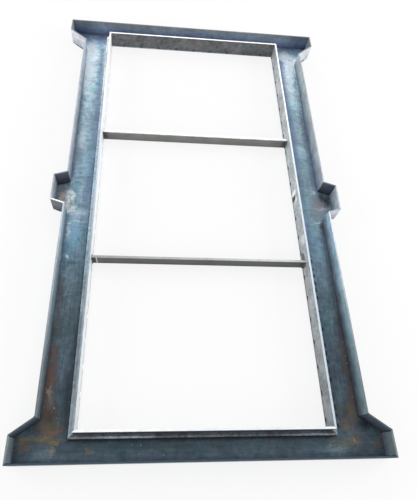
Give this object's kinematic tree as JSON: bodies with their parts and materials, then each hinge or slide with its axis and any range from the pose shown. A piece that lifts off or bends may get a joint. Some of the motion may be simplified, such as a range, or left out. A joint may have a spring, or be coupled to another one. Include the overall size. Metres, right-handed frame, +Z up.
{
  "type": "door frame mould",
  "caption": "Open-top welded steel mould, lying flat, that casts a rebated concrete door frame with corner horns and a lug on each leg; flat bars on edge brace its opening.",
  "frame": {"origin": "middle of the underside, which is the plane that the mould lies on", "axes": "+X across the frame to the right as seen from the sill, +Y along the legs from the sill to the head, +Z up out of the open side"},
  "size_m": [1.31, 2.134, 0.085],
  "materials": {
    "floor_plate": "mild steel with blue-grey mill scale, cement haze and rust in the corners",
    "outer_wall": "mild steel with worn mill scale, rusted at the foot",
    "inner_wall": "mild steel rubbed pale, with a bright cut edge",
    "rebate_strip": "brown-grey mild steel with cement haze",
    "cross_bar": "dark rolled steel flat bar"
  },
  "bodies": {
    "root": {"head_floor": "floor_plate", "sill_floor": "floor_plate", "head_corner_floor_left": "floor_plate", "head_corner_floor_right": "floor_plate", "sill_corner_floor_left": "floor_plate", "sill_corner_floor_right": "floor_plate", "leg_floor_upper_left": "floor_plate", "leg_floor_upper_right": "floor_plate", "leg_floor_lower_left": "floor_plate", "leg_floor_lower_right": "floor_plate", "lug_floor_left": "floor_plate", "lug_floor_right": "floor_plate", "head_outer_wall": "outer_wall", "sill_outer_wall": "outer_wall", "horn_end_head_left": "outer_wall", "horn_end_head_right": "outer_wall", "horn_end_sill_left": "outer_wall", "horn_end_sill_right": "outer_wall", "horn_slant_head_left": "outer_wall", "horn_slant_head_right": "outer_wall", "horn_slant_sill_left": "outer_wall", "horn_slant_sill_right": "outer_wall", "leg_outer_wall_upper_left": "outer_wall", "leg_outer_wall_upper_right": "outer_wall", "leg_outer_wall_lower_left": "outer_wall", "leg_outer_wall_lower_right": "outer_wall", "lug_side_upper_left": "outer_wall", "lug_side_upper_right": "outer_wall", "lug_side_lower_left": "outer_wall", "lug_side_lower_right": "outer_wall", "lug_tip_left": "outer_wall", "lug_tip_right": "outer_wall", "head_inner_wall": "inner_wall", "sill_inner_wall": "inner_wall", "leg_inner_wall_left": "inner_wall", "leg_inner_wall_right": "inner_wall", "head_rebate_strip": "rebate_strip", "sill_rebate_strip": "rebate_strip", "leg_rebate_strip_left": "rebate_strip", "leg_rebate_strip_right": "rebate_strip", "cross_bar_upper": "cross_bar", "cross_bar_lower": "cross_bar"}
  },
  "joints": []
}
